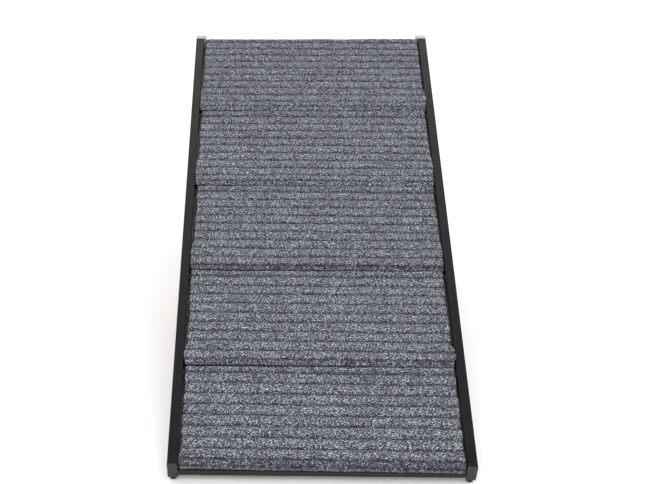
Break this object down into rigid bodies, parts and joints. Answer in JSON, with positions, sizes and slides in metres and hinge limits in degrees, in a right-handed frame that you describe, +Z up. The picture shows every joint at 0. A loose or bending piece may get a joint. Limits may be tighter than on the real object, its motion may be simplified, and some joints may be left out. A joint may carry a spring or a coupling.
{
  "type": "dog ramp",
  "caption": "Free-standing indoor dog ramp: carpeted treads in a black tube frame that lift level into steps, on folding rear legs.",
  "frame": {"origin": "on the floor under the middle of the ramp, with the legs open", "axes": "+Y runs uphill, +X to the right looking uphill, +Z up"},
  "size_m": [0.45, 0.9348, 0.4467],
  "materials": {
    "rail_black": "matt powder coat",
    "cap_grey": "moulded, fine texture",
    "bumper_grey": "moulded, soft matt",
    "rubber_black": "matt",
    "plywood": "sanded birch ply",
    "carpet_grey": "ribbed heather pile",
    "link_steel": "satin black coat",
    "screw_zinc": "zinc plated",
    "screw_black": "black oxide",
    "nylon_black": "moulded nylon",
    "knob_black": "moulded, fine texture"
  },
  "bodies": {
    "frame": {"rail_left": "rail_black", "rail_right": "rail_black", "low_cap_left": "cap_grey", "low_cap_right": "cap_grey", "low_foot_left": "rubber_black", "low_foot_right": "rubber_black", "top_cap_left": "bumper_grey", "top_cap_right": "bumper_grey", "hinge_block_left": "nylon_black", "hinge_block_right": "nylon_black", "front_crossbar": "rail_black", "rung_2": "rail_black", "rung_3": "rail_black", "rung_4": "rail_black", "rung_5": "rail_black", "top_crossbar": "rail_black", "crossbar_screws": "screw_black", "pivot_bushes": "nylon_black", "frame_screws": "screw_black", "leg_pads": "rubber_black", "knob_bracket": "rail_black", "lock_stud": "screw_zinc"},
    "tread_1": {"board_1": "plywood", "carpet_1": "carpet_grey", "edge_angles_1": "link_steel", "angle_screws_1": "screw_zinc", "tread_pins_1": "screw_black"},
    "tread_2": {"board_2": "plywood", "carpet_2": "carpet_grey", "edge_angles_2": "link_steel", "angle_screws_2": "screw_zinc", "tread_pins_2": "screw_black"},
    "tread_3": {"board_3": "plywood", "carpet_3": "carpet_grey", "edge_angles_3": "link_steel", "angle_screws_3": "screw_zinc", "tread_pins_3": "screw_black"},
    "tread_4": {"board_4": "plywood", "carpet_4": "carpet_grey", "edge_angles_4": "link_steel", "angle_screws_4": "screw_zinc", "tread_pins_4": "screw_black"},
    "tread_5": {"board_5": "plywood", "carpet_5": "carpet_grey", "edge_angles_5": "link_steel", "angle_screws_5": "screw_zinc", "tread_pins_5": "screw_black"},
    "link": {"link_left": "link_steel", "link_right": "link_steel", "link_rivets": "screw_zinc", "link_tie": "link_steel"},
    "legs": {"leg_left": "rail_black", "leg_right": "rail_black", "leg_pins": "screw_zinc", "leg_foot_left": "rubber_black", "leg_foot_right": "rubber_black", "leg_strip_upper": "rail_black", "leg_strip_lower": "rail_black", "leg_strip_screws": "screw_black"},
    "knob": {"lock_knob": "knob_black"}
  },
  "joints": [
    {"name": "tread_3_tilt", "type": "hinge", "parent": "frame", "child": "tread_3", "pos_m": [0, 0.06125, 0.26068], "axis": [-1, 0, 0], "range_deg": [0, 22.1]},
    {"name": "tread_1_tilt", "type": "hinge", "parent": "frame", "child": "tread_1", "pos_m": [0, -0.30416, 0.09799], "axis": [-1, 0, 0], "range_deg": [0, 22.1]},
    {"name": "tread_2_tilt", "type": "hinge", "parent": "frame", "child": "tread_2", "pos_m": [0, -0.12145, 0.17933], "axis": [-1, 0, 0], "range_deg": [0, 22.1]},
    {"name": "tread_4_tilt", "type": "hinge", "parent": "frame", "child": "tread_4", "pos_m": [0, 0.24396, 0.34203], "axis": [-1, 0, 0], "range_deg": [0, 22.1]},
    {"name": "tread_5_tilt", "type": "hinge", "parent": "frame", "child": "tread_5", "pos_m": [0, 0.42667, 0.42338], "axis": [-1, 0, 0], "range_deg": [0, 22.1]},
    {"name": "link_swing", "type": "hinge", "parent": "tread_3", "child": "link", "pos_m": [0, 0.07427, 0.23145], "axis": [-1, 0, 0], "range_deg": [-22.1, 0]},
    {"name": "leg_fold", "type": "hinge", "parent": "frame", "child": "legs", "pos_m": [0, 0.40127, 0.37102], "axis": [-1, 0, 0], "range_deg": [0, 74]},
    {"name": "knob_spin", "type": "hinge", "parent": "frame", "child": "knob", "pos_m": [0.1962, 0.35336, 0.35571], "axis": [-1, 0, 0], "range_deg": [0, 360]}
  ],
  "couplings": [
    {"joint": "tread_1_tilt", "follows": "tread_3_tilt", "ratio": 1},
    {"joint": "tread_2_tilt", "follows": "tread_3_tilt", "ratio": 1},
    {"joint": "tread_4_tilt", "follows": "tread_3_tilt", "ratio": 1},
    {"joint": "tread_5_tilt", "follows": "tread_3_tilt", "ratio": 1},
    {"joint": "link_swing", "follows": "tread_3_tilt", "ratio": -1}
  ]
}
